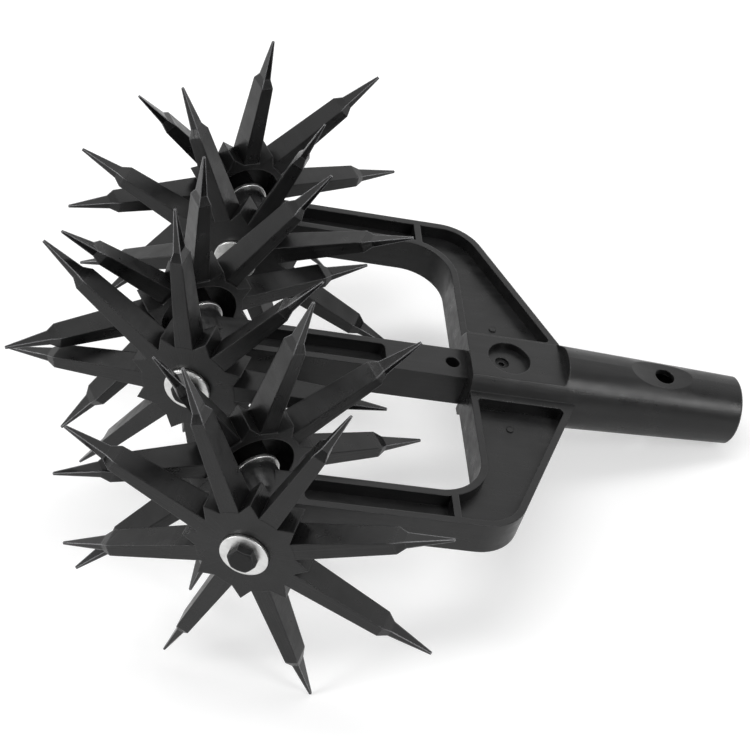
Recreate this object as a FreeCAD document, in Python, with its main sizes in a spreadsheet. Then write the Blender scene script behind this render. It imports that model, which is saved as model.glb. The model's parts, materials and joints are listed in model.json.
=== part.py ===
import FreeCAD, Part
import Sketcher
import math
import os
import re

# Rotary cultivator head: a forked yoke with a pole socket carries three pairs of star wheels.
# The two wheels of a pair lean apart, so their teeth pass between each other at the leading side.
#
# Head frame, used while modelling: x runs from the wheels to the socket mouth, with zero at the
# crossbar's inner edge; z is up, with zero at the top rims; y is zero in the middle, and left is -y.
# At the end every piece is laid down as the head rests on a floor, on its wheels and its socket mouth.
#
# Lengths are in millimetres and angles in degrees.
SIZES = [
    ("half_span", 90.4, "yoke: outer edge of an outer arm, from the middle"),
    ("arm_width", 16.4, "yoke: width of an outer arm"),
    ("frame_depth", 15.4, "yoke: depth of arms, shoulders and crossbar"),
    ("rim", 3.0, "yoke: thickness of the rims around the recesses"),
    ("web", 3.4, "yoke: thickness of the web between top and bottom recess"),
    ("corner_reach", 10.4, "yoke: outer corner before rounding, from the crossbar's inner edge"),
    ("slant_angle", 25.75, "yoke: lean of the shoulders' outer edges"),
    ("outer_corner_radius", 20.0, "yoke: rounding of the outer corners"),
    ("inner_corner_radius", 19.0, "yoke: rounding of the inner corners"),
    ("recess_corner_radius", 2.0, "yoke and centre arm: rounding at the ends of the recesses"),
    ("rib_distance", 13.0, "yoke: rib across an outer arm, from the crossbar's inner edge"),
    ("rib_thickness", 3.0, "yoke: thickness of that rib"),
    ("flange_half_width", 20.0, "yoke: flat beside the block, where the shoulder recesses begin"),
    ("outer_axle_reach", 84.4, "axle point of an outer arm, from the crossbar's inner edge"),
    ("centre_axle_reach", 105.4, "axle point of the centre arm, from the crossbar's inner edge"),
    ("axle_outset", 0.4, "axle point of an outer arm, outwards of that arm's middle"),
    ("axle_drop", 8.2, "axle points below the top rims"),
    ("lean_angle", 21.0, "lean of each axle from straight across"),
    ("boss_radius", 8.2, "radius of the axle bosses"),
    ("boss_reach", 13.8, "face of an axle boss, from its axle point"),
    ("tube_drop", 6.1, "socket: axis below the top rims"),
    ("tube_root_radius", 17.4, "socket: outer radius at the block"),
    ("tube_mouth_radius", 14.7, "socket: outer radius at the mouth"),
    ("tube_length", 121.7, "socket: mouth, from the crossbar's inner edge"),
    ("pole_bore_radius", 12.1, "socket: bore for the pole"),
    ("pole_bore_depth", 74.0, "socket: depth of that bore"),
    ("mouth_chamfer", 0.8, "socket: chamfer at the mouth"),
    ("cross_hole_distance", 35.3, "socket: cross hole, from the mouth"),
    ("cross_hole_radius", 4.25, "socket: radius of the cross hole"),
    ("scoop_length", 28.0, "socket: length of the hollow around the cross hole"),
    ("scoop_depth", 1.9, "socket: depth of that hollow"),
    ("block_half_depth", 12.2, "block: flat top and bottom, from the socket's axis"),
    ("block_length", 41.9, "block: end of the flats, from the crossbar's inner edge"),
    ("block_end_radius", 14.0, "block: rounding at the end of the flats"),
    ("spot_reach", 17.3, "block: round recess in its top, from the crossbar's inner edge"),
    ("spot_radius", 9.2, "block: radius of that recess"),
    ("spot_depth", 3.0, "block: depth of that recess"),
    ("block_screw_reach", 15.0, "block: screw, from the crossbar's inner edge"),
    ("block_screw_head_radius", 2.9, "block screw: radius of its head"),
    ("block_screw_head_height", 1.6, "block screw: height of its head"),
    ("block_screw_sink", 1.0, "block screw: top of its head below the round recess"),
    ("block_screw_radius", 1.9, "block screw: radius of its shank"),
    ("block_screw_length", 13.0, "block screw: length of its shank"),
    ("block_screw_socket_radius", 1.4, "block screw: radius around its hexagon socket"),
    ("block_screw_socket_depth", 1.2, "block screw: depth of that socket"),
    ("centre_arm_width", 17.0, "centre arm: width"),
    ("centre_arm_depth", 15.4, "centre arm: depth"),
    ("centre_arm_drop", 0.5, "centre arm: top below the yoke's top rims"),
    ("tongue_length", 36.0, "centre arm: length inside the block"),
    ("ejector_radius", 1.6, "round ejector marks on the recess floors: radius"),
    ("ejector_height", 0.5, "ejector marks: height"),
    ("ejector_sink", 0.5, "ejector marks: depth by which they are rooted in the floor"),
    ("shoulder_ejector_reach", 17.3, "yoke: ejector mark on a shoulder, from the inner edge"),
    ("shoulder_ejector_side", 30.2, "yoke: ejector mark on a shoulder, from the middle"),
    ("arm_ejector_reach", 61.5, "centre arm: ejector mark, from the crossbar's inner edge"),
    ("tongue_clearance", 0.15, "gap beside and behind the centre arm in its channel"),
    ("solid_end_length", 34.6, "centre arm: stretch before the crossbar that has no recess"),
    ("lock_hole_distance", 5.5, "centre arm: hole before the block, from the crossbar's inner edge"),
    ("lock_hole_radius", 3.0, "centre arm: radius of that hole"),
    ("axle_radius", 4.0, "axle screw: radius of the shoulder that the wheel turns on"),
    ("thread_radius", 3.0, "axle screw: radius of the threaded end"),
    ("thread_length", 9.6, "axle screw: length of the threaded end"),
    ("thread_chamfer", 0.6, "axle screw: chamfer at its end"),
    ("head_width", 9.8, "axle screw: width of the head across its flats"),
    ("head_height", 3.6, "axle screw: height of the head"),
    ("head_chamfer", 0.9, "axle screw: drop of the head's bevelled corners"),
    ("fit_clearance", 0.05, "radial gap of fixed screws in their holes"),
    ("running_clearance", 0.05, "radial gap between an axle and its wheel"),
    ("end_play", 0.2, "gap between a wheel and the washer at each side"),
    ("washer_radius", 9.4, "washer: outer radius"),
    ("washer_hole_radius", 4.3, "washer: radius of its hole"),
    ("washer_thickness", 1.5, "washer: thickness"),
    ("star_radius", 80.0, "star wheel: tips of the large teeth"),
    ("tooth_count", 8, "star wheel: large teeth"),
    ("tooth_root_width", 7.6, "star wheel: width of a tooth at the hub"),
    ("tooth_shoulder_width", 5.2, "star wheel: width of a tooth at its shoulder"),
    ("tooth_shoulder_front", 4.6, "star wheel: front of a tooth's shoulder, from the tips' plane"),
    ("tooth_shoulder_back", 4.5, "star wheel: back of a tooth's shoulder, from the tips' plane"),
    ("tooth_root_back", 6.0, "star wheel: back of a tooth at the hub, from the tips' plane"),
    ("shoulder_radius", 58.5, "star wheel: where a tooth's shoulder begins"),
    ("spike_radius", 62.0, "star wheel: where a tooth's pointed end begins"),
    ("spike_share", 0.58, "star wheel: section of the pointed end, as a share of the shoulder's"),
    ("tip_width", 0.9, "star wheel: width of a tooth's blunt tip"),
    ("valley_radius", 19.5, "star wheel: outer radius of the hub"),
    ("serration_radius", 24.6, "star wheel: tips of the small teeth between the large ones"),
    ("hub_front", 6.2, "star wheel: front of the hub, from the tips' plane"),
    ("hub_back", 7.0, "star wheel: back of the hub's outer wall, from the tips' plane"),
    ("hub_wall", 3.0, "star wheel: thickness of the hub's front and outer wall"),
    ("sleeve_radius", 7.5, "star wheel: outer radius of the sleeve around the axle"),
    ("sleeve_back", 7.7, "star wheel: back of that sleeve, from the tips' plane"),
    ("left_outer_phase", 30.7, "turn of each wheel at rest: a tooth's angle above the head's plane"),
    ("left_inner_phase", -5.8, "the same"),
    ("centre_left_phase", 16.7, "the same"),
    ("centre_right_phase", 8.2, "the same"),
    ("right_inner_phase", 30.7, "the same"),
    ("right_outer_phase", 1.2, "the same"),
    ("overrun", 2.0, "how far cuts run past the faces that they start from"),
]

# Sizes that follow from the ones above, as formulas in the same sheet.
FORMULAS = [
    ("inner_edge", "half_span - arm_width"),
    ("outer_axle_side", "half_span - arm_width / 2 + axle_outset"),
    ("recess_depth", "(frame_depth - web) / 2"),
    ("neck_reach", "corner_reach + (half_span - tube_root_radius) * tan(slant_angle)"),
    ("recess_corner_reach", "corner_reach - rim * (1 - sin(slant_angle)) / cos(slant_angle)"),
    ("recess_neck_reach",
     "recess_corner_reach + (half_span - rim - flange_half_width) * tan(slant_angle)"),
    ("recess_end_reach", "outer_axle_reach - boss_radius - rim"),
    ("cross_hole_reach", "tube_length - cross_hole_distance"),
    ("cross_hole_wall_radius",
     "tube_root_radius - (tube_root_radius - tube_mouth_radius)"
     " * (cross_hole_reach - block_length) / (tube_length - block_length)"),
    ("scoop_radius", "(scoop_length * scoop_length / 4 + scoop_depth * scoop_depth) / (2 * scoop_depth)"),
    ("block_top", "block_half_depth - tube_drop"),
    ("block_bottom", "-block_half_depth - tube_drop"),
    ("centre_arm_side", "centre_arm_width / 2"),
    ("channel_side", "centre_arm_side + tongue_clearance"),
    ("channel_length", "tongue_length + tongue_clearance"),
    ("centre_recess_depth", "(centre_arm_depth - web) / 2"),
    ("centre_recess_end_reach", "centre_axle_reach - boss_radius - rim"),
    ("block_screw_seat", "block_top - spot_depth - block_screw_sink - block_screw_head_height"),
    ("screw_hole_depth", "thread_length + overrun / 2"),
    ("wheel_plane", "boss_reach + washer_thickness + end_play + sleeve_back"),
    ("outer_washer_seat", "wheel_plane + hub_front + end_play"),
    ("head_seat", "outer_washer_seat + washer_thickness"),
    ("bore_radius", "axle_radius + running_clearance"),
    ("tooth_start", "valley_radius - hub_wall / 2"),
    ("spike_width", "tooth_shoulder_width * spike_share"),
    ("spike_front", "tooth_shoulder_front * spike_share"),
    ("spike_back", "tooth_shoulder_back * spike_share"),
    ("half_pitch", "180 / tooth_count"),
    ("root_reach", "sqrt(valley_radius * valley_radius - tooth_root_width * tooth_root_width / 4)"),
    ("serration_base_reach", "root_reach * cos(half_pitch) + tooth_root_width / 2 * sin(half_pitch)"),
    ("serration_base_side", "root_reach * sin(half_pitch) - tooth_root_width / 2 * cos(half_pitch)"),
]

NAMES = [entry[0] for entry in SIZES + FORMULAS]

# Each axle: its name, the arm that holds it and the side of that arm: -1 is left, 1 is right.
AXLES = [
    ("left_outer", "left", -1),
    ("left_inner", "left", 1),
    ("centre_left", "centre", -1),
    ("centre_right", "centre", 1),
    ("right_inner", "right", -1),
    ("right_outer", "right", 1),
]

doc = FreeCAD.newDocument("rotary_cultivator")
sheet = doc.addObject("Spreadsheet::Sheet", "sizes")


def fill_sheet():
    """Writes the driving sizes as plain numbers and the others as formulas, each with its alias."""
    rows = [(name, str(number), note) for name, number, note in SIZES]
    rows += [(name, "=" + formula, "follows from the sizes above") for name, formula in FORMULAS]
    for row, (name, content, note) in enumerate(rows, start=1):
        sheet.set(f"A{row}", name)
        sheet.set(f"B{row}", content)
        sheet.setAlias(f"B{row}", name)
        sheet.set(f"C{row}", note)
    doc.recompute()


def full(expression):
    """Puts the sheet's name before each size in an expression."""
    return re.sub(r"[a-z_]+", lambda word: "sizes." + word[0] if word[0] in NAMES else word[0], expression)


def value(expression):
    """Works an expression out to a number."""
    return float(sheet.evalExpression(full(expression)))


def bind(item, **expressions):
    """Ties properties of an object to expressions of named sizes."""
    for name, expression in expressions.items():
        item.setExpression(name, full(expression))


def origin_feature(body, role):
    """Finds a plane or axis of a body's own origin."""
    return next(item for item in body.Origin.OriginFeatures if item.Role == role)


def new_body(name):
    """Starts a sub-part."""
    body = doc.addObject("PartDesign::Body", name)
    body.Label = name
    return body


def new_sketch(body, role, lift="0", shift="0", turn="0"):
    """Starts a sketch on an origin plane, lifted along its normal, shifted up in it and turned."""
    sketch = body.newObject("Sketcher::SketchObject", "sketch")
    sketch.AttachmentSupport = [(origin_feature(body, role), "")]
    sketch.MapMode = "FlatFace"
    bind(sketch, AttachmentOffset=f"placement(vector(0; {shift}; {lift}); rotationz({turn}))")
    return sketch


def pin_point(sketch, geometry, place, x, y):
    """Fixes a point of a sketch at two expressions."""
    for kind, expression in (("DistanceX", x), ("DistanceY", y)):
        number = sketch.addConstraint(
            Sketcher.Constraint(kind, -1, 1, geometry, place, value(expression)))
        sketch.setExpression(f"Constraints[{number}]", full(expression))


def rounded_corner(before, corner, after, radius):
    """Gives the start, centre and end of the arc that rounds a corner, and whether it turns left."""
    back = (before - corner).normalize()
    ahead = (after - corner).normalize()
    half = back.getAngle(ahead) / 2
    start = corner + back * (radius / math.tan(half))
    end = corner + ahead * (radius / math.tan(half))
    centre = corner + (back + ahead).normalize() * (radius / math.sin(half))
    return start, centre, end, ahead.cross(back).z > 0


def draw_outline(sketch, corners):
    """Draws a closed outline through (x, y) or (x, y, rounding radius), given as expressions."""
    points = [FreeCAD.Vector(value(corner[0]), value(corner[1]), 0) for corner in corners]
    count = len(corners)
    starts = []
    ends = []
    arcs = {}
    for number, corner in enumerate(corners):
        point = points[number]
        if len(corner) == 2:
            ends.append(point)
            starts.append(point)
            continue
        radius = value(corner[2])
        following = points[(number + 1) % count]
        begin, centre, finish, left = rounded_corner(points[number - 1], point, following, radius)
        ends.append(begin)
        starts.append(finish)
        first, last = (begin, finish) if left else (finish, begin)
        angles = [math.atan2(place.y - centre.y, place.x - centre.x) for place in (first, last)]
        circle = Part.Circle(centre, FreeCAD.Vector(0, 0, 1), radius)
        arcs[number] = (Part.ArcOfCircle(circle, *angles), left)
    for number in range(count):
        sketch.addGeometry(Part.LineSegment(starts[number], ends[(number + 1) % count]), False)
    for number, corner in enumerate(corners):
        before = (number - 1) % count
        if number not in arcs:
            sketch.addConstraint(Sketcher.Constraint("Coincident", before, 2, number, 1))
            pin_point(sketch, number, 1, corner[0], corner[1])
            continue
        arc, left = arcs[number]
        rounding = sketch.addGeometry(arc, False)
        mark = sketch.addGeometry(Part.Point(points[number]), True)
        first, last = (1, 2) if left else (2, 1)
        sketch.addConstraint(Sketcher.Constraint("Tangent", before, 2, rounding, first))
        sketch.addConstraint(Sketcher.Constraint("Tangent", rounding, last, number, 1))
        sketch.addConstraint(Sketcher.Constraint("PointOnObject", mark, 1, before))
        sketch.addConstraint(Sketcher.Constraint("PointOnObject", mark, 1, number))
        pin_point(sketch, mark, 1, corner[0], corner[1])
        held = sketch.addConstraint(Sketcher.Constraint("Radius", rounding, value(corner[2])))
        sketch.setExpression(f"Constraints[{held}]", full(corner[2]))


def draw_circle(sketch, x, y, radius):
    """Draws a circle at two expressions."""
    centre = FreeCAD.Vector(value(x), value(y), 0)
    ring = sketch.addGeometry(Part.Circle(centre, FreeCAD.Vector(0, 0, 1), value(radius)), False)
    pin_point(sketch, ring, 3, x, y)
    held = sketch.addConstraint(Sketcher.Constraint("Radius", ring, value(radius)))
    sketch.setExpression(f"Constraints[{held}]", full(radius))


def sweep_sketch(body, kind, name, sketch, length, reverse=False):
    """Makes a Pad or a Pocket; a pad goes along the sketch's normal and a pocket against it."""
    feature = body.newObject("PartDesign::" + kind, name)
    feature.Profile = sketch
    feature.Reversed = reverse
    bind(feature, Length=length)
    sketch.Visibility = False
    return feature


def turn_sketch(body, kind, name, sketch, axis):
    """Makes a Revolution or a Groove about one of the sketch's own axes."""
    feature = body.newObject("PartDesign::" + kind, name)
    feature.Profile = sketch
    feature.ReferenceAxis = (sketch, [axis])
    feature.Angle = 360
    sketch.Visibility = False


def primitive(body, kind, name, **expressions):
    """Adds or cuts a plain solid, such as a cylinder or a wedge."""
    feature = body.newObject("PartDesign::" + kind, name)
    bind(feature, **expressions)
    return feature


def mirror_left(body, name, features):
    """Repeats features at the left side of the middle."""
    feature = body.newObject("PartDesign::Mirrored", name)
    feature.Originals = features
    feature.MirrorPlane = (origin_feature(body, "XZ_Plane"), [""])
    body.Tip = feature


def repeat_round(body, name, features):
    """Repeats features around the wheel, once for each large tooth."""
    feature = body.newObject("PartDesign::PolarPattern", name)
    feature.Originals = features
    feature.Axis = (origin_feature(body, "Z_Axis"), [""])
    feature.Angle = 360
    bind(feature, Occurrences="tooth_count")
    body.Tip = feature


def axle_turn(side):
    """Gives the turn that points a piece's own z outwards along an axle, as an expression."""
    heading = "lean_angle" if side > 0 else "180 - lean_angle"
    return f"rotationz({heading}) * rotationx(-90)"


def axle_point(arm):
    """Gives the axle point of an arm, as expressions."""
    if arm == "centre":
        return "-centre_axle_reach", "0", "-axle_drop"
    side = "outer_axle_side" if arm == "right" else "-outer_axle_side"
    return "-outer_axle_reach", side, "-axle_drop"


def add_bosses(body, arm):
    """Adds the two leaning axle bosses at an arm's end, then their screw holes."""
    x, y, z = axle_point(arm)
    for side in (-1, 1):
        primitive(body, "AdditiveCylinder", arm + "_boss", Radius="boss_radius", Height="boss_reach",
                  Placement=f"placement(vector({x}; {y}; {z}); {axle_turn(side)})")
    for side in (-1, 1):
        primitive(body, "SubtractiveCylinder", arm + "_screw_hole",
                  Radius="thread_radius + fit_clearance", Height="screw_hole_depth + overrun",
                  Placement=f"placement(vector({x}; {y}; {z}); {axle_turn(side)})"
                            " * placement(vector(0; 0; boss_reach - screw_hole_depth); rotationz(0))")


def add_ejector_mark(body, x, y, floor):
    """Adds a low round mark on the floor of a recess."""
    primitive(body, "AdditiveCylinder", "ejector_mark", Radius="ejector_radius",
              Height="ejector_height + ejector_sink",
              Placement=f"placement(vector({x}; {y}; {floor} - ejector_sink); rotationz(0))")


def make_yoke():
    """One moulding: fork, ribbed shoulders, crossbar, block and pole socket."""
    body = new_body("yoke")
    plate = new_sketch(body, "XY_Plane")
    draw_outline(plate, [
        ("-outer_axle_reach", "inner_edge"),
        ("0", "inner_edge", "inner_corner_radius"),
        ("0", "-inner_edge", "inner_corner_radius"),
        ("-outer_axle_reach", "-inner_edge"),
        ("-outer_axle_reach", "-half_span"),
        ("corner_reach", "-half_span", "outer_corner_radius"),
        ("neck_reach", "-tube_root_radius"),
        ("neck_reach", "tube_root_radius"),
        ("corner_reach", "half_span", "outer_corner_radius"),
        ("-outer_axle_reach", "half_span"),
    ])
    sweep_sketch(body, "Pad", "fork", plate, "frame_depth", reverse=True)

    profile = new_sketch(body, "XZ_Plane", shift="-tube_drop")
    draw_outline(profile, [
        ("0", "0"),
        ("tube_length", "0"),
        ("tube_length", "tube_mouth_radius - mouth_chamfer"),
        ("tube_length - mouth_chamfer", "tube_mouth_radius"),
        ("block_length", "tube_root_radius"),
        ("0", "tube_root_radius"),
    ])
    turn_sketch(body, "Revolution", "socket", profile, "H_Axis")

    # The block is the root of the socket with its top and bottom cut flat.
    for name, lift, reverse in (("top_flat", "block_top", True), ("bottom_flat", "block_bottom", False)):
        flat = new_sketch(body, "XY_Plane", lift=lift)
        draw_outline(flat, [
            ("-overrun", "-tube_root_radius - overrun"),
            ("block_length", "-tube_root_radius - overrun", "block_end_radius"),
            ("block_length", "tube_root_radius + overrun", "block_end_radius"),
            ("-overrun", "tube_root_radius + overrun"),
        ])
        sweep_sketch(body, "Pocket", name, flat, "tube_root_radius", reverse)

    recesses = []
    for name, lift, reverse in (("top_recess", "0", False), ("bottom_recess", "-frame_depth", True)):
        recess = new_sketch(body, "XY_Plane", lift=lift)
        draw_outline(recess, [
            ("rim", "flange_half_width", "recess_corner_radius"),
            ("recess_neck_reach", "flange_half_width", "recess_corner_radius"),
            ("recess_corner_reach", "half_span - rim", "outer_corner_radius - rim"),
            ("-recess_end_reach", "half_span - rim", "recess_corner_radius"),
            ("-recess_end_reach", "inner_edge + rim", "recess_corner_radius"),
            ("rim", "inner_edge + rim", "inner_corner_radius + rim"),
        ])
        recesses.append(sweep_sketch(body, "Pocket", name, recess, "recess_depth", reverse))
    mirror_left(body, "left_recesses", recesses)

    for arm, edge in (("left", "-half_span + rim / 2"), ("right", "inner_edge + rim / 2")):
        primitive(body, "AdditiveBox", arm + "_cross_rib",
                  Length="rib_thickness", Width="arm_width - rim", Height="frame_depth",
                  Placement=f"placement(vector(-rib_distance - rib_thickness / 2; {edge};"
                            " -frame_depth); rotationz(0))")
        add_bosses(body, arm)
    for side in ("-shoulder_ejector_side", "shoulder_ejector_side"):
        add_ejector_mark(body, "shoulder_ejector_reach", side, "-recess_depth")

    channel = new_sketch(body, "XY_Plane", lift="-centre_arm_drop")
    draw_outline(channel, [
        ("-overrun", "-channel_side"),
        ("channel_length", "-channel_side"),
        ("channel_length", "channel_side"),
        ("-overrun", "channel_side"),
    ])
    sweep_sketch(body, "Pocket", "centre_channel", channel, "tube_drop + tube_root_radius")

    spot = new_sketch(body, "XY_Plane", lift="block_top")
    draw_circle(spot, "spot_reach", "0", "spot_radius")
    sweep_sketch(body, "Pocket", "spot_recess", spot, "spot_depth")
    screw_hole = new_sketch(body, "XY_Plane", lift="block_top")
    draw_circle(screw_hole, "block_screw_reach", "0", "block_screw_radius + fit_clearance")
    sweep_sketch(body, "Pocket", "block_screw_hole", screw_hole, "block_top + centre_arm_drop + overrun")
    counterbore = new_sketch(body, "XY_Plane", lift="block_top")
    draw_circle(counterbore, "block_screw_reach", "0", "block_screw_head_radius + fit_clearance")
    sweep_sketch(body, "Pocket", "block_screw_counterbore", counterbore, "block_top - block_screw_seat")

    bore = new_sketch(body, "XZ_Plane", shift="-tube_drop")
    draw_outline(bore, [
        ("tube_length - pole_bore_depth", "0"),
        ("tube_length + overrun", "0"),
        ("tube_length + overrun", "pole_bore_radius + mouth_chamfer"),
        ("tube_length", "pole_bore_radius + mouth_chamfer"),
        ("tube_length - mouth_chamfer", "pole_bore_radius"),
        ("tube_length - pole_bore_depth", "pole_bore_radius"),
    ])
    turn_sketch(body, "Groove", "pole_bore", bore, "H_Axis")

    for name, sign in (("top_scoop", ""), ("bottom_scoop", "-")):
        height = f"-tube_drop + {sign}(cross_hole_wall_radius - scoop_depth + scoop_radius)"
        primitive(body, "SubtractiveCylinder", name, Radius="scoop_radius", Height="2 * tube_root_radius",
                  Placement=f"placement(vector(cross_hole_reach; -tube_root_radius; {height});"
                            " rotationx(-90))")
    cross_hole = new_sketch(body, "XY_Plane", lift="tube_root_radius")
    draw_circle(cross_hole, "cross_hole_reach", "0", "cross_hole_radius")
    sweep_sketch(body, "Pocket", "cross_hole", cross_hole, "2 * (tube_root_radius + tube_drop)")
    return body


def make_centre_arm():
    """The arm between the outer ones, with a tongue that seats in the block's channel."""
    body = new_body("centre_arm")
    bar = new_sketch(body, "XY_Plane", lift="-centre_arm_drop")
    draw_outline(bar, [
        ("-centre_axle_reach", "-centre_arm_side"),
        ("tongue_length", "-centre_arm_side"),
        ("tongue_length", "centre_arm_side"),
        ("-centre_axle_reach", "centre_arm_side"),
    ])
    sweep_sketch(body, "Pad", "bar", bar, "centre_arm_depth", reverse=True)
    add_bosses(body, "centre")

    floor = "-centre_arm_drop - centre_arm_depth"
    for name, lift, reverse in (("top_recess", "-centre_arm_drop", False), ("bottom_recess", floor, True)):
        recess = new_sketch(body, "XY_Plane", lift=lift)
        draw_outline(recess, [
            ("-centre_recess_end_reach", "rim - centre_arm_side", "recess_corner_radius"),
            ("-solid_end_length", "rim - centre_arm_side", "recess_corner_radius"),
            ("-solid_end_length", "centre_arm_side - rim", "recess_corner_radius"),
            ("-centre_recess_end_reach", "centre_arm_side - rim", "recess_corner_radius"),
        ])
        sweep_sketch(body, "Pocket", name, recess, "centre_recess_depth", reverse)
    add_ejector_mark(body, "-arm_ejector_reach", "0", "-centre_arm_drop - centre_recess_depth")

    for name, place, radius, depth in (
            ("lock_hole", "-lock_hole_distance", "lock_hole_radius", "centre_arm_depth + overrun"),
            ("block_screw_hole", "block_screw_reach", "block_screw_radius + fit_clearance",
             "block_screw_length")):
        hole = new_sketch(body, "XY_Plane", lift="-centre_arm_drop")
        draw_circle(hole, place, "0", radius)
        sweep_sketch(body, "Pocket", name, hole, depth)
    return body


def make_block_screw():
    """The screw that holds the centre arm in the block."""
    body = new_body("block_screw")
    profile = new_sketch(body, "XZ_Plane", shift="block_screw_seat")
    draw_outline(profile, [
        ("0", "-block_screw_length"),
        ("block_screw_radius", "-block_screw_length"),
        ("block_screw_radius", "0"),
        ("block_screw_head_radius", "0"),
        ("block_screw_head_radius", "block_screw_head_height"),
        ("0", "block_screw_head_height"),
    ])
    turn_sketch(body, "Revolution", "shank_and_head", profile, "V_Axis")
    socket = primitive(body, "SubtractivePrism", "hexagon_socket",
                       Circumradius="block_screw_socket_radius", Height="block_screw_socket_depth + overrun",
                       Placement="placement(vector(0; 0; block_screw_seat + block_screw_head_height"
                                 " - block_screw_socket_depth); rotationz(0))")
    socket.Polygon = 6
    return body


def make_axle_screw(name):
    """A shoulder screw, along z from the axle point: thread in the boss, shoulder for the wheel, head."""
    body = new_body(name)
    profile = new_sketch(body, "XZ_Plane")
    draw_outline(profile, [
        ("0", "boss_reach - thread_length"),
        ("thread_radius - thread_chamfer", "boss_reach - thread_length"),
        ("thread_radius", "boss_reach - thread_length + thread_chamfer"),
        ("thread_radius", "boss_reach"),
        ("axle_radius", "boss_reach"),
        ("axle_radius", "head_seat"),
        ("0", "head_seat"),
    ])
    turn_sketch(body, "Revolution", "shoulder_and_thread", profile, "V_Axis")
    head = primitive(body, "AdditivePrism", "head", Circumradius="head_width / 2 / cos(30)",
                     Height="head_height", Placement="placement(vector(0; 0; head_seat); rotationz(0))")
    head.Polygon = 6
    bevel = new_sketch(body, "XZ_Plane", shift="head_seat + head_height")
    draw_outline(bevel, [
        ("head_width / 2 - head_chamfer / 2", "0"),
        ("head_width", "-(head_width / 2 + head_chamfer / 2) * tan(30)"),
        ("head_width", "0"),
    ])
    turn_sketch(body, "Groove", "head_bevel", bevel, "V_Axis")
    return body


def make_washer(name, seat):
    """A plain washer, along z from the axle point."""
    body = new_body(name)
    disc = new_sketch(body, "XY_Plane", lift=seat)
    draw_circle(disc, "0", "0", "washer_radius")
    draw_circle(disc, "0", "0", "washer_hole_radius")
    sweep_sketch(body, "Pad", "disc", disc, "washer_thickness")
    return body


def make_star(name):
    """A star wheel, along z outwards from the plane of its tips, with a tooth at x."""
    body = new_body(name)
    hub = new_sketch(body, "XZ_Plane")
    draw_outline(hub, [
        ("bore_radius", "hub_front"),
        ("bore_radius", "-sleeve_back"),
        ("sleeve_radius", "-sleeve_back"),
        ("sleeve_radius", "hub_front - hub_wall"),
        ("valley_radius - hub_wall", "hub_front - hub_wall"),
        ("valley_radius - hub_wall", "-hub_back"),
        ("valley_radius", "-hub_back"),
        ("valley_radius", "hub_front"),
    ])
    turn_sketch(body, "Revolution", "hub", hub, "V_Axis")

    # A tooth is three tapering stretches: blade, stepped shoulder and spike.
    # Each stretch: its name, then (reach, width, front, back) at its inner and outer end.
    root = ("tooth_start", "tooth_root_width", "hub_front", "tooth_root_back")
    shoulder = ("shoulder_radius", "tooth_shoulder_width", "tooth_shoulder_front", "tooth_shoulder_back")
    spike = ("spike_radius", "spike_width", "spike_front", "spike_back")
    tip = ("star_radius", "tip_width", "tip_width / 2", "tip_width / 2")
    sections = (("blade", root, shoulder), ("shoulder", shoulder, spike), ("spike", spike, tip))
    stretches = []
    for part, inner, outer in sections:
        stretches.append(primitive(
            body, "AdditiveWedge", part, Placement="placement(vector(0; 0; 0); rotationz(-90))",
            Ymin=inner[0], Ymax=outer[0],
            Xmin=f"-{inner[1]} / 2", Xmax=f"{inner[1]} / 2", Zmin=f"-{inner[3]}", Zmax=inner[2],
            X2min=f"-{outer[1]} / 2", X2max=f"{outer[1]} / 2", Z2min=f"-{outer[3]}", Z2max=outer[2]))
    repeat_round(body, "large_teeth", stretches)

    serration = new_sketch(body, "XY_Plane", lift="hub_front", turn="half_pitch")
    draw_outline(serration, [
        ("serration_base_reach", "-serration_base_side"),
        ("serration_radius", "0"),
        ("serration_base_reach", "serration_base_side"),
    ])
    small_tooth = sweep_sketch(body, "Pad", "small_tooth", serration, "hub_front + hub_back", reverse=True)
    repeat_round(body, "small_teeth", [small_tooth])
    return body


def axle_placement(arm, side, distance="0", phase="0"):
    """Gives the place and turn of a piece on an axle in the head frame."""
    x, y, z = (value(expression) for expression in axle_point(arm))
    heading = value("lean_angle") if side > 0 else 180 - value("lean_angle")
    outwards = FreeCAD.Rotation(FreeCAD.Vector(0, 0, 1), heading)
    outwards = outwards * FreeCAD.Rotation(FreeCAD.Vector(1, 0, 0), -90)
    turned = FreeCAD.Rotation(FreeCAD.Vector(0, 0, 1), -side * value(phase))
    along = FreeCAD.Placement(FreeCAD.Vector(0, 0, value(distance)), turned)
    return FreeCAD.Placement(FreeCAD.Vector(x, y, z), outwards) * along


def resting_tilt():
    """Finds the tilt, mouth down, at which the outer wheels' lowest tips and the mouth touch a floor."""
    lean = math.radians(value("lean_angle"))
    pitch = 2 * value("half_pitch")
    run = value("outer_axle_reach + tube_length") + value("wheel_plane") * math.sin(lean)
    rise = value("tube_drop - axle_drop + tube_mouth_radius - mouth_chamfer")
    tilt = 0.0
    for _ in range(40):
        down = math.degrees(math.atan2(-math.cos(tilt), math.sin(tilt) * math.cos(lean)))
        misses = []
        for name in ("left_outer_phase", "right_outer_phase"):
            miss = (value(name) - down) % pitch
            misses.append(min(miss, pitch - miss))
        reach = value("star_radius") * math.sqrt(1 - (math.sin(tilt) * math.sin(lean)) ** 2)
        drop = reach * math.cos(math.radians(min(misses)))
        tilt = math.asin((drop - rise * math.cos(tilt)) / run)
    return math.degrees(tilt)


def check_document():
    """Stops if an object failed, or a cut took nothing away."""
    for item in doc.Objects:
        if "Invalid" in item.State or "Error" in item.State:
            raise RuntimeError(f"{item.Name} failed: {item.State}")
    for item in doc.Objects:
        cuts = item.TypeId in ("PartDesign::Pocket", "PartDesign::Groove")
        if cuts and item.Shape.Volume >= item.BaseFeature.Shape.Volume:
            raise RuntimeError(f"{item.Name} cuts nothing")


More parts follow.
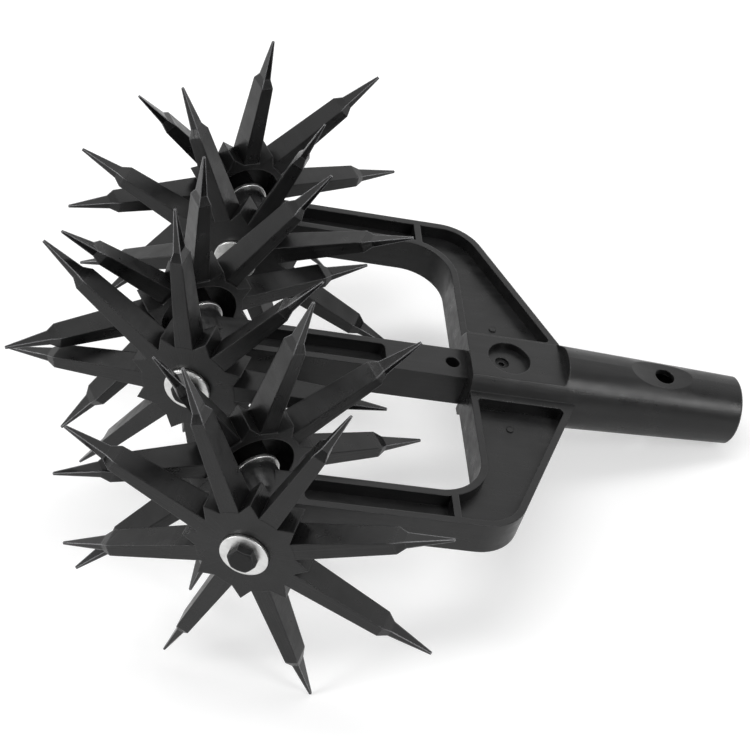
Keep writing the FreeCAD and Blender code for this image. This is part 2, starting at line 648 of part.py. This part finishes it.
def main():
    fill_sheet()
    head_frame = FreeCAD.Placement()
    places = {}
    for body in (make_yoke(), make_centre_arm()):
        places[body] = head_frame
    block_screw_place = FreeCAD.Vector(value("block_screw_reach"), 0, 0)
    places[make_block_screw()] = FreeCAD.Placement(block_screw_place, FreeCAD.Rotation())
    for name, arm, side in AXLES:
        places[make_star(name + "_star")] = axle_placement(arm, side, "wheel_plane", name + "_phase")
        places[make_axle_screw(name + "_axle_screw")] = axle_placement(arm, side)
        places[make_washer(name + "_inner_washer", "boss_reach")] = axle_placement(arm, side)
        places[make_washer(name + "_outer_washer", "outer_washer_seat")] = axle_placement(arm, side)
    doc.recompute()
    check_document()

    # The head is tilted onto its wheels and mouth; the floor's point under its middle becomes the origin.
    tilt = resting_tilt()
    resting = FreeCAD.Placement(FreeCAD.Vector(), FreeCAD.Rotation(FreeCAD.Vector(0, 1, 0), tilt))
    for body, place in places.items():
        body.Placement = resting * place
    box = Part.makeCompound([body.Shape for body in places]).optimalBoundingBox(False, False)
    resting.Base = FreeCAD.Vector(-box.Center.x, -box.Center.y, -box.ZMin)
    for body, place in places.items():
        body.Placement = resting * place
    doc.recompute()
    check_document()

    os.makedirs("parts", exist_ok=True)
    for body in places:
        if body.Shape.isNull() or not body.Shape.isValid():
            raise RuntimeError(f"{body.Label} has no valid shape")
        body.Shape.exportStep(f"parts/{body.Label}.step")

    print(f"tilt {tilt:.4f} degrees, base {tuple(round(part, 3) for part in resting.Base)}")
    print(f"size {box.XLength:.1f} x {box.YLength:.1f} x {box.ZLength:.1f} mm, {len(places)} pieces")
    for name, arm, side in AXLES:
        place = resting * axle_placement(arm, side, "wheel_plane")
        axis = place.Rotation.multVec(FreeCAD.Vector(0, 0, side))
        print(f"{name} wheel centre {tuple(round(part, 4) for part in place.Base)},"
              f" axis {tuple(round(part, 6) for part in axis)}")


main()
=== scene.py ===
import json
import math
from typing import NamedTuple

import bpy
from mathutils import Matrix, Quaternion, Vector


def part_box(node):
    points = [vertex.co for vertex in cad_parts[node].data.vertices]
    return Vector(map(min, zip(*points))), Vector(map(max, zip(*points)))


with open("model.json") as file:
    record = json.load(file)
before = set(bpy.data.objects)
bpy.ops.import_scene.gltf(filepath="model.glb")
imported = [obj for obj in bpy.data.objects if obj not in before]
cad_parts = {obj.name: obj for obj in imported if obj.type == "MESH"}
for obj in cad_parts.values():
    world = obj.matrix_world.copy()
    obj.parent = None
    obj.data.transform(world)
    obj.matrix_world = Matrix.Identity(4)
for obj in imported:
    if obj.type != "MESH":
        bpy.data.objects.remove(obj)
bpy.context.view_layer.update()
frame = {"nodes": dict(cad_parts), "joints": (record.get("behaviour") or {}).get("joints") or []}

AXLES = ("left_outer", "left_inner", "centre_left", "centre_right", "right_inner", "right_outer")
SOCKET_AXIS = Vector((0.9515, 0.0, -0.3076))
BLOCK_NORMAL = Vector((0.3076, 0.0, 0.9515))

CAMERA_PLACE = Vector((-0.0144, -0.5483, 0.5934))
CAMERA_AIM = Vector((-0.0043, -0.0013, 0.0558))
CAMERA_ROLL = math.radians(-4.585)
CAMERA_LENS = 88.2
SENSOR_WIDTH = 36.0

# Each lamp: name, place, width, depth and power in watts. All point where the camera does.
LAMPS = (
    ("overhead_lamp", Vector((0.05, 0.28, 1.52)), 1.2, 0.5, 9.6),
    ("left_lamp", Vector((-1.3, -0.35, 0.8)), 0.6, 0.8, 10.4),
    ("front_lamp", Vector((1.05, -0.91, 0.96)), 0.45, 0.8, 8.7),
)

# The floor glows where it is seen: more at a distance, where the lamps fade, and less in mirrors.
FLOOR_HALF_SIZE = 4.0
FLOOR_COLOUR = (0.62, 0.62, 0.62, 1.0)
FLOOR_LIFT = 0.45
FAR_FLOOR_LIFT = 0.77
LIFT_GROWS_FROM = 0.25
LIFT_FULL_AT = 1.6
MIRRORED_LIFT_SHARE = 0.5

# The world's level where it only lights.
FILL_LEVEL = 0.47
# What glossy surfaces mirror of the world: white up to the first height and dim from the second
# one, and dimmer towards the front. The heights and the turn to the front are sines.
MIRRORED_OVERHEAD_LEVEL = 0.25
MIRRORED_FRONT_SHARE = 0.38
WHITE_BELOW = 0.72
DIM_ABOVE = 0.98
FRONT_FROM = 0.35
BACK_FROM = 0.25

# Outer edges look rounded. The cosine between the rounded and the flat normal tells where an edge
# is, and the open share of what lies within the reach tells outer edges from inner corners.
EDGE_RADIUS = 0.0008
EDGE_SAMPLES = 6
EDGE_COSINES = (0.82, 0.995)
CORNER_REACH = 0.002
OPEN_SHARES = (0.62, 0.9)

# Distances from an axle to where a tooth's wear and the highlight painted on its spike's edges
# begin, to where its spike is polished in full and that highlight is full, and to its tip.
TOOTH_WEAR_START = 0.056
SPIKE_POLISHED_AT = 0.063
TOOTH_TIP = 0.080

# Patterns in the finishes: the scale and the detail of a noise.
NYLON_MOTTLE = (55.0, 4.0)
NYLON_GRAIN = (2600.0, 2.0)
NYLON_FLOW = (130.0, 3.0)
TOOTH_WEAR = (420.0, 5.0)
FLOW_LINES = (75.0, 3.0)
STREAKS = (240.0, 3.0)
# How much of its length along the socket a streak's pattern keeps.
STREAK_SHARE = 0.07

# The bands of a noise between which a layer goes from its least to its most.
MOTTLE_BAND = (0.32, 0.68)
SCUFF_AND_HIGHLIGHT_BAND = (0.35, 0.65)
ROUGHNESS_BAND = (0.3, 0.7)
WEAR_BAND = (0.42, 0.6)
LINE_BAND = (0.45, 0.7)
STREAK_ROUGHNESS_BAND = (0.35, 0.65)
METAL_BAND = (0.35, 0.65)

# The least and the most that a layer covers, or its one share of a mask.
SCUFF_AND_HIGHLIGHT_SHARES = (0.15, 0.75)
FLOW_LINE_SHARES = (0.0, 0.35)
STREAK_SHARES = (0.0, 0.5)
WEAR_SHARE = 0.35
SPIKE_HIGHLIGHT_SHARE = 0.85
METAL_EDGE_SHARE = 0.5

# How much lighter than the nylon's light grey a layer is (on outer edges partly scuffs, partly a
# painted highlight), and the grey of the highlight painted on a spike's edges.
SCUFF_AND_HIGHLIGHT_GAIN = 3.2
WEAR_GAIN = 2.0
FLOW_LINE_GAIN = 1.7
STREAK_GAIN = 1.9
SPIKE_HIGHLIGHT_GREY = 0.42

# What a polished spike loses in roughness, and the least and the most that a streak adds.
SPIKE_POLISH = 0.18
STREAK_ROUGHNESS = (-0.04, 0.06)

# Reliefs: the strength and the height of a bump.
FLOW_RELIEF = (0.25, 0.0004)
GRAIN_RELIEF = (0.18, 0.00006)
FLOW_LINE_RELIEF = (0.35, 0.00025)
STREAK_RELIEF = (0.5, 0.0002)

NYLON_IOR = 1.5
BLUE_CAST = 1.03
WHITE = (1.0, 1.0, 1.0, 1.0)

# A Mix node has sockets for each kind of data; these are the ones for colours.
MIX_FIRST, MIX_SECOND, MIX_RESULT = 6, 7, 2


def grey(level):
    return (level, level, level * BLUE_CAST, 1.0)


class Nylon(NamedTuple):
    """A nylon: the dark and the light grey of its mottling, its roughness and its shine."""

    dark: float
    light: float
    roughness: tuple
    shine: float


class Metal(NamedTuple):
    """A turned metal: the colours of its mottling and edges, its patterns and its shine."""

    dark: tuple
    light: tuple
    edge: tuple
    mottle: tuple
    roughness: tuple
    ring_scale: float
    ring_relief: tuple
    metallic: float
    shine: float


FRAME_NYLON = Nylon(dark=0.004, light=0.007, roughness=(0.26, 0.38), shine=0.42)
ARM_NYLON = Nylon(dark=0.004, light=0.008, roughness=(0.28, 0.42), shine=0.42)
STAR_NYLON = Nylon(dark=0.003, light=0.008, roughness=(0.25, 0.40), shine=0.38)
STEEL = Metal(
    dark=grey(0.006), light=grey(0.013), edge=grey(0.12),
    mottle=(700.0, 3.0), roughness=(0.46, 0.62),
    ring_scale=5200.0, ring_relief=(0.30, 0.00006), metallic=0.25, shine=0.3)
ZINC = Metal(
    dark=(0.66, 0.66, 0.65, 1.0), light=(0.80, 0.80, 0.79, 1.0), edge=(0.93, 0.93, 0.93, 1.0),
    mottle=(380.0, 4.0), roughness=(0.26, 0.42),
    ring_scale=3800.0, ring_relief=(0.2, 0.00004), metallic=1.0, shine=0.5)


class Graph:
    """A node tree under construction."""

    def __init__(self, tree):
        self.tree = tree
        self.tree.nodes.clear()

    def add(self, kind, inputs=None, **settings):
        """Adds a node; an input is a number, a colour or the output of another node."""
        made = self.tree.nodes.new(kind)
        for name, setting in settings.items():
            setattr(made, name, setting)
        for socket, given in (inputs or {}).items():
            self.feed(made.inputs[socket], given)
        return made

    def feed(self, socket, given):
        """Links an output to a socket, or sets its plain value."""
        if isinstance(given, bpy.types.NodeSocket):
            self.tree.links.new(given, socket)
        else:
            socket.default_value = given

    def maths(self, operation, *values):
        made = self.add("ShaderNodeMath", dict(enumerate(values)), operation=operation)
        return made.outputs[0]

    def times(self, first, second):
        return self.maths("MULTIPLY", first, second)

    def vector(self, operation, *values):
        made = self.add("ShaderNodeVectorMath", dict(enumerate(values)), operation=operation)
        return made.outputs["Value" if operation in ("DOT_PRODUCT", "LENGTH") else "Vector"]

    def scaled(self, vector, factor):
        made = self.add("ShaderNodeVectorMath", {0: vector, "Scale": factor}, operation="SCALE")
        return made.outputs["Vector"]

    def noise(self, place, scale, detail):
        inputs = {"Vector": place, "Scale": scale, "Detail": detail}
        return self.add("ShaderNodeTexNoise", inputs).outputs["Fac"]

    def spread(self, given, low, high, start=0.0, end=1.0):
        """Maps start..end to low..high."""
        inputs = {"Value": given, "From Min": start, "From Max": end, "To Min": low, "To Max": high}
        return self.add("ShaderNodeMapRange", inputs).outputs["Result"]

    def blend(self, share, first, second):
        """Mixes two colours."""
        inputs = {"Factor": share, MIX_FIRST: first, MIX_SECOND: second}
        return self.add("ShaderNodeMix", inputs, data_type="RGBA").outputs[MIX_RESULT]

    def rays(self):
        return self.add("ShaderNodeLightPath").outputs

    def coordinates(self):
        return self.add("ShaderNodeTexCoord").outputs

    def finish(self, shader, kind="ShaderNodeOutputMaterial"):
        output = self.add(kind)
        self.tree.links.new(shader, output.inputs["Surface"])


def new_material(name):
    material = bpy.data.materials.new(name)
    material.use_nodes = True
    return material


def soft_edges(graph):
    """Gives a normal that rounds the sharp outer edges, and a mask that is 1 on them."""
    bevel = graph.add("ShaderNodeBevel", {"Radius": EDGE_RADIUS}, samples=EDGE_SAMPLES)
    rounded = bevel.outputs["Normal"]
    flat = graph.add("ShaderNodeNewGeometry").outputs["Normal"]
    sharp = graph.spread(graph.vector("DOT_PRODUCT", rounded, flat), 1.0, 0.0, *EDGE_COSINES)
    openness = graph.add("ShaderNodeAmbientOcclusion", {"Distance": CORNER_REACH},
                         samples=EDGE_SAMPLES, only_local=True)
    outer = graph.spread(openness.outputs["AO"], 0.0, 1.0, *OPEN_SHARES)
    turn = graph.scaled(graph.vector("SUBTRACT", rounded, flat), outer)
    normal = graph.vector("NORMALIZE", graph.vector("ADD", flat, turn))
    return normal, graph.times(sharp, outer)


class Skin(Graph):
    """A finish under construction: a colour, a roughness and a normal that layers are added to."""

    def __init__(self, name, colour):
        self.material = new_material(name)
        super().__init__(self.material.node_tree)
        self.place = self.coordinates()["Object"]
        self.normal, self.edge = soft_edges(self)
        self.colour = colour
        self.roughness = None

    def tint(self, share, colour):
        """Lays a colour over the present one."""
        self.colour = self.blend(share, self.colour, colour)

    def raise_by(self, pattern, strength, height):
        """Lets a pattern stand out of the surface, by shading alone."""
        inputs = {"Height": pattern, "Strength": strength, "Distance": height}
        bump = self.add("ShaderNodeBump", inputs | {"Normal": self.normal})
        self.normal = bump.outputs["Normal"]

    def complete(self, even):
        """Adds the shader, with settings that are the same everywhere, and gives the material."""
        inputs = {"Base Color": self.colour, "Roughness": self.roughness, "Normal": self.normal}
        self.finish(self.add("ShaderNodeBsdfPrincipled", inputs | even).outputs[0])
        return self.material


def across_axis(graph, place, centre, axis):
    """Gives the way to a point from the line through a centre along an axis, square to the line."""
    offset = graph.vector("SUBTRACT", place, tuple(centre))
    along = graph.vector("DOT_PRODUCT", offset, tuple(axis))
    return graph.vector("SUBTRACT", offset, graph.scaled(tuple(axis), along))


def shortened_along(graph, place, axis, share):
    """Gives a point whose way along an axis is shortened, so that a pattern read there streaks."""
    along = graph.times(graph.vector("DOT_PRODUCT", place, tuple(axis)), share)
    kept = graph.scaled(tuple(axis), along)
    return graph.vector("ADD", across_axis(graph, place, Vector(), axis), kept)


def nylon(name, kind, axle=None):
    """Moulded nylon: mottled black with a fine grain, and outer edges lightened partly by scuffs
    and partly by a painted highlight. A wheel has an axle.
    """
    skin = Skin(name, grey(kind.dark))
    mottle = skin.noise(skin.place, *NYLON_MOTTLE)
    flow = skin.noise(skin.place, *NYLON_FLOW)
    skin.tint(skin.spread(mottle, 0.0, 1.0, *MOTTLE_BAND), grey(kind.light))
    # Outer edges get a lighter grey: partly scuffs, partly a painted highlight along them.
    scuffs_and_highlights = skin.times(skin.edge, skin.spread(flow, *SCUFF_AND_HIGHLIGHT_SHARES, *SCUFF_AND_HIGHLIGHT_BAND))
    skin.tint(scuffs_and_highlights, grey(kind.light * SCUFF_AND_HIGHLIGHT_GAIN))
    skin.roughness = skin.spread(flow, *kind.roughness, *ROUGHNESS_BAND)
    if axle:
        mark_wheel(skin, kind, axle)
    else:
        mark_frame(skin, kind)
    skin.raise_by(flow, *FLOW_RELIEF)
    skin.raise_by(skin.noise(skin.place, *NYLON_GRAIN), *GRAIN_RELIEF)
    return skin.complete({"IOR": NYLON_IOR, "Specular IOR Level": kind.shine})


def mark_wheel(skin, kind, axle):
    """Adds a painted highlight to the edges of the polished spikes, wear to the teeth and flow
    lines from the hub.
    """
    outwards = across_axis(skin, skin.place, *axle)
    reach = skin.vector("LENGTH", outwards)
    spike = skin.spread(reach, 0.0, 1.0, TOOTH_WEAR_START, SPIKE_POLISHED_AT)
    # A painted highlight along the spikes' edges, growing towards the tips.
    painted_glint = skin.times(skin.times(spike, skin.edge), SPIKE_HIGHLIGHT_SHARE)
    skin.tint(painted_glint, grey(SPIKE_HIGHLIGHT_GREY))
    worn = skin.spread(reach, 0.0, 1.0, TOOTH_WEAR_START, TOOTH_TIP)
    patches = skin.spread(skin.noise(skin.place, *TOOTH_WEAR), 0.0, 1.0, *WEAR_BAND)
    skin.tint(skin.times(worn, skin.times(patches, WEAR_SHARE)), grey(kind.light * WEAR_GAIN))
    skin.roughness = skin.maths("SUBTRACT", skin.roughness, skin.times(spike, SPIKE_POLISH))
    flow_lines = skin.noise(skin.vector("NORMALIZE", outwards), *FLOW_LINES)
    skin.raise_by(flow_lines, *FLOW_LINE_RELIEF)
    skin.tint(skin.spread(flow_lines, *FLOW_LINE_SHARES, *LINE_BAND),
              grey(kind.light * FLOW_LINE_GAIN))


def mark_frame(skin, kind):
    """Adds streaks along the socket's axis."""
    place = shortened_along(skin, skin.place, SOCKET_AXIS, STREAK_SHARE)
    streaks = skin.noise(place, *STREAKS)
    skin.raise_by(streaks, *STREAK_RELIEF)
    skin.tint(skin.spread(streaks, *STREAK_SHARES, *LINE_BAND), grey(kind.light * STREAK_GAIN))
    change = skin.spread(streaks, *STREAK_ROUGHNESS, *STREAK_ROUGHNESS_BAND)
    skin.roughness = skin.maths("ADD", skin.roughness, change)


def metal(name, kind, axle):
    """Turned metal: mottled, with bright edges and turning marks round its axle."""
    skin = Skin(name, kind.dark)
    mottle = skin.noise(skin.place, *kind.mottle)
    skin.tint(skin.spread(mottle, 0.0, 1.0, *METAL_BAND), kind.light)
    skin.tint(skin.times(skin.edge, METAL_EDGE_SHARE), kind.edge)
    skin.roughness = skin.spread(mottle, *kind.roughness, *ROUGHNESS_BAND)
    reach = skin.vector("LENGTH", across_axis(skin, skin.place, *axle))
    rings = skin.add("ShaderNodeTexNoise", {"W": skin.times(reach, kind.ring_scale), "Scale": 1.0},
                     noise_dimensions="1D")
    skin.raise_by(rings.outputs["Fac"], *kind.ring_relief)
    return skin.complete({"Metallic": kind.metallic, "Specular IOR Level": kind.shine})


def dress(node, material):
    """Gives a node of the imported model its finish."""
    for slot in frame["nodes"][node].material_slots:
        slot.material = material


def dress_head():
    """Finishes every piece; the pieces on one axle share that axle's line."""
    lines = {joint["name"].removesuffix("_roll"): (Vector(joint["pos_m"]), Vector(joint["axis"]))
             for joint in frame["joints"]}
    dress("yoke", nylon("frame_nylon", FRAME_NYLON))
    dress("centre_arm", nylon("arm_nylon", ARM_NYLON))
    low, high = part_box("block_screw")
    dress("block_screw", metal("block_screw_steel", STEEL, ((low + high) / 2, BLOCK_NORMAL)))
    for axle in AXLES:
        dress(axle + "_star", nylon(axle + "_nylon", STAR_NYLON, lines[axle]))
        dress(axle + "_axle_screw", metal(axle + "_steel", STEEL, lines[axle]))
        plating = metal(axle + "_zinc", ZINC, lines[axle])
        for washer in ("_inner_washer", "_outer_washer"):
            dress(axle + washer, plating)


def seen_directly(graph):
    """Gives 1 for rays from the camera and for mirrored or refracted ones."""
    rays = graph.rays()
    shown = graph.maths("MAXIMUM", rays["Is Camera Ray"], rays["Is Glossy Ray"])
    return graph.maths("MAXIMUM", shown, rays["Is Transmission Ray"])


def make_floor():
    """A pale floor that keeps the head's shadow and shows as white around it."""
    mesh = bpy.data.meshes.new("floor")
    half = FLOOR_HALF_SIZE
    corners = [(-half, -half, 0.0), (half, -half, 0.0), (half, half, 0.0), (-half, half, 0.0)]
    mesh.from_pydata(corners, [], [(0, 1, 2, 3)])
    floor = bpy.data.objects.new("floor", mesh)
    bpy.context.scene.collection.objects.link(floor)
    material = new_material("floor_paint")
    graph = Graph(material.node_tree)
    paper = graph.add("ShaderNodeBsdfDiffuse", {"Color": FLOOR_COLOUR}).outputs[0]
    reach = graph.vector("LENGTH", graph.coordinates()["Object"])
    lift = graph.spread(reach, FLOOR_LIFT, FAR_FLOOR_LIFT, LIFT_GROWS_FROM, LIFT_FULL_AT)
    mirrored = graph.spread(graph.rays()["Is Glossy Ray"], 1.0, MIRRORED_LIFT_SHARE)
    lift = graph.times(lift, graph.times(seen_directly(graph), mirrored))
    glow = graph.add("ShaderNodeEmission", {"Color": WHITE, "Strength": lift}).outputs[0]
    graph.finish(graph.add("ShaderNodeAddShader", {0: paper, 1: glow}).outputs[0])
    mesh.materials.append(material)


def make_world():
    """White where it is seen, grey where it lights, and in mirrors dimmer overhead and in front."""
    world = bpy.data.worlds.new("studio")
    bpy.context.scene.world = world
    world.use_nodes = True
    graph = Graph(world.node_tree)
    direction = graph.coordinates()["Generated"]
    parts = graph.add("ShaderNodeSeparateXYZ", {"Vector": direction}).outputs
    above = graph.spread(parts["Z"], 1.0, MIRRORED_OVERHEAD_LEVEL, WHITE_BELOW, DIM_ABOVE)
    front = graph.spread(parts["Y"], MIRRORED_FRONT_SHARE, 1.0, -FRONT_FROM, BACK_FROM)
    mirrored = graph.times(above, front)
    plain = graph.spread(seen_directly(graph), FILL_LEVEL, 1.0)
    glossy = graph.rays()["Is Glossy Ray"]
    level = graph.maths("MULTIPLY_ADD", glossy, graph.maths("SUBTRACT", mirrored, plain), plain)
    sky = graph.add("ShaderNodeBackground", {"Color": WHITE, "Strength": level})
    graph.finish(sky.outputs[0], "ShaderNodeOutputWorld")


def aim(thing, place, target, roll=0.0):
    """Puts a lamp or camera into the scene, turned to a target and rolled about its view."""
    facing = (target - place).to_track_quat("-Z", "Y")
    thing.location = place
    thing.rotation_euler = (facing @ Quaternion((0.0, 0.0, 1.0), roll)).to_euler()
    bpy.context.scene.collection.objects.link(thing)


def make_lamps():
    for name, place, width, depth, power in LAMPS:
        lamp = bpy.data.lights.new(name, "AREA")
        lamp.shape = "RECTANGLE"
        lamp.size = width
        lamp.size_y = depth
        lamp.energy = power
        aim(bpy.data.objects.new(name, lamp), place, CAMERA_AIM)


def make_camera():
    data = bpy.data.cameras.new("camera")
    data.lens = CAMERA_LENS
    data.sensor_width = SENSOR_WIDTH
    camera = bpy.data.objects.new("camera", data)
    aim(camera, CAMERA_PLACE, CAMERA_AIM, CAMERA_ROLL)
    bpy.context.scene.camera = camera


dress_head()
make_floor()
make_world()
make_lamps()
make_camera()
bpy.context.scene.view_settings.view_transform = "Standard"
